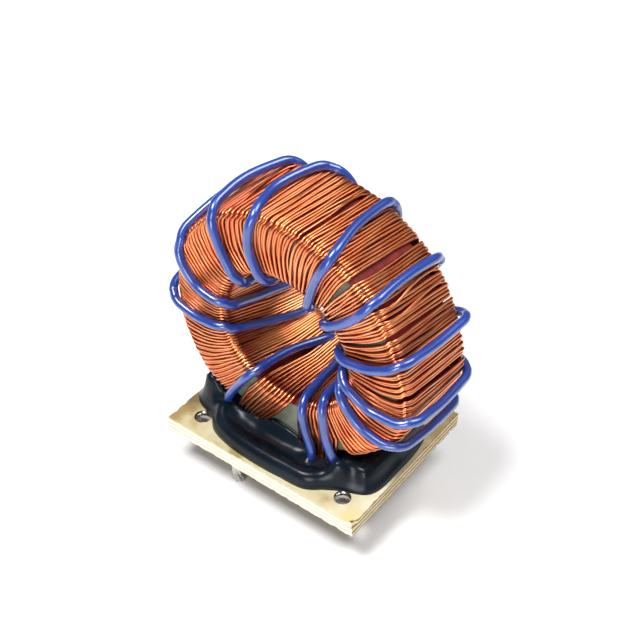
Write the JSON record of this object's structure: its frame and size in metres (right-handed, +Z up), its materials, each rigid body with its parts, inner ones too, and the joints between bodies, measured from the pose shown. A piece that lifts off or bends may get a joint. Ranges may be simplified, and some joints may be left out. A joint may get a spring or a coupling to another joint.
{
  "type": "toroidal inductor",
  "caption": "Upright toroidal inductor with a ribbon winding of thin enamelled wires, an insulated winding over it, and a base board with black potting.",
  "frame": {"origin": "centre of the base board's underside, on the middle of the ring's width", "axes": "+Z up, away from the board's underside; +Y along the ring's axis; +X along the board's length"},
  "size_m": [0.0277, 0.017, 0.0313],
  "materials": {
    "coated_core": "epoxy-coated iron powder ring, grey-green on its faces and dark red round its outside and bore",
    "enamelled_copper": "bright copper wire under clear amber enamel",
    "blue_jacket": "smooth glossy blue wire jacket",
    "tinned_copper": "solder-dipped copper wires",
    "glass_epoxy": "pale yellow woven glass-epoxy board with sawn edges",
    "black_potting": "glossy blue-black epoxy, poured and set"
  },
  "bodies": {
    "root": {"core": "coated_core", "board": "glass_epoxy", "potting": "black_potting", "insulated_wire": "blue_jacket", "ribbon_lead_front": "tinned_copper", "ribbon_lead_back": "tinned_copper", "wire_tail_front": "tinned_copper", "wire_tail_back": "tinned_copper", "copper_strand_01": "enamelled_copper", "copper_strand_02": "enamelled_copper", "copper_strand_03": "enamelled_copper", "copper_strand_04": "enamelled_copper", "copper_strand_05": "enamelled_copper", "copper_strand_06": "enamelled_copper", "copper_strand_07": "enamelled_copper", "copper_strand_08": "enamelled_copper", "copper_strand_09": "enamelled_copper", "copper_strand_10": "enamelled_copper", "copper_strand_11": "enamelled_copper", "copper_strand_12": "enamelled_copper", "copper_strand_13": "enamelled_copper", "copper_strand_14": "enamelled_copper", "copper_strand_15": "enamelled_copper", "copper_strand_16": "enamelled_copper", "copper_strand_17": "enamelled_copper", "copper_strand_18": "enamelled_copper"}
  },
  "joints": []
}
